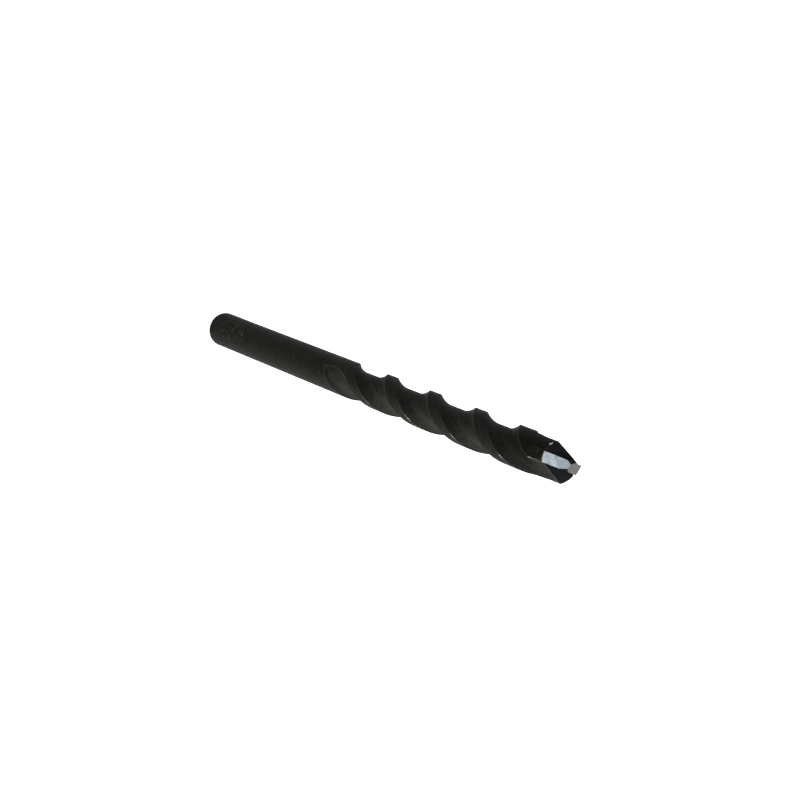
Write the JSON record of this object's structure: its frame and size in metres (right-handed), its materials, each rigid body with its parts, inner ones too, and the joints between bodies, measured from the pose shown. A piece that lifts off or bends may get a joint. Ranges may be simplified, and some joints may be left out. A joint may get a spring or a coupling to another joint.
{
  "type": "glass and tile drill bit",
  "caption": "Straight-shank drill bit for glass and tile: a black steel rod with right-hand helical flutes and a carbide cutting plate brazed across its tip.",
  "frame": {"origin": "centre of the flat end of the shank", "axes": "+Z along the bit's axis towards the cutting point, X along the width of the carbide plate"},
  "size_m": [0.0052, 0.005, 0.1016],
  "materials": {
    "black_oxide_steel": "black oxide, satin, worn bright along the land edges",
    "ground_carbide": "ground tungsten carbide",
    "braze": "as brazed"
  },
  "bodies": {
    "root": {"drill_body": "black_oxide_steel", "carbide_plate": "ground_carbide", "braze_film": "braze"}
  },
  "joints": []
}
